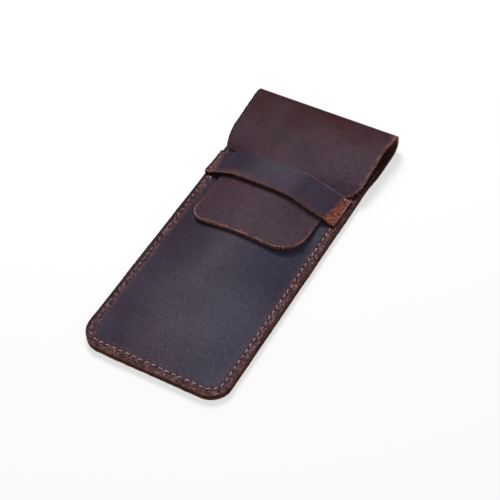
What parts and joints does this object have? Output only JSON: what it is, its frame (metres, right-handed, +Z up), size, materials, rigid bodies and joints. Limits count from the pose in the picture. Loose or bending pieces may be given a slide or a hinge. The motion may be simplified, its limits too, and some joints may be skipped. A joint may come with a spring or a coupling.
{
  "type": "pen case",
  "caption": "Flat leather pen case: a crowned pocket sewn to a back that folds over into a flap, whose tongue tucks under a sewn strap.",
  "frame": {"origin": "centre of the closed case's footprint, on the surface that its back lies on", "axes": "+Z up out of the front, +Y from the rounded bottom end to the fold, +X to the right seen from the front"},
  "size_m": [0.072, 0.163, 0.0125],
  "materials": {
    "body_leather": "oily pull-up leather, dark brown with blue-black patches, waxed, lighter at bends",
    "front_leather": "oily pull-up leather, blue-black, waxed, brown at the rim",
    "strap_leather": "oily pull-up leather, blue-black with red-brown ends and lower edge",
    "thread": "waxed twisted sewing thread, pinkish tan"
  },
  "bodies": {
    "case": {"back_panel": "body_leather", "front_panel": "front_leather", "retaining_strap": "strap_leather", "front_stitches": "thread", "back_stitches": "thread"},
    "roll": {"fold": "body_leather"},
    "flap": {"flap": "body_leather", "tongue": "body_leather"}
  },
  "joints": [
    {"name": "fold_roll", "type": "hinge", "parent": "case", "child": "roll", "pos_m": [0, 0.07967, 0.00183], "axis": [-1, 0, 0], "range_deg": [0, 90], "deforming": ["fold"]},
    {"name": "flap_hinge", "type": "hinge", "parent": "roll", "child": "flap", "pos_m": [0, 0.07967, 0.00862], "axis": [-1, 0, 0], "range_deg": [0, 90], "deforming": ["tongue"]}
  ],
  "couplings": [
    {"joint": "flap_hinge", "follows": "fold_roll", "ratio": 1}
  ]
}
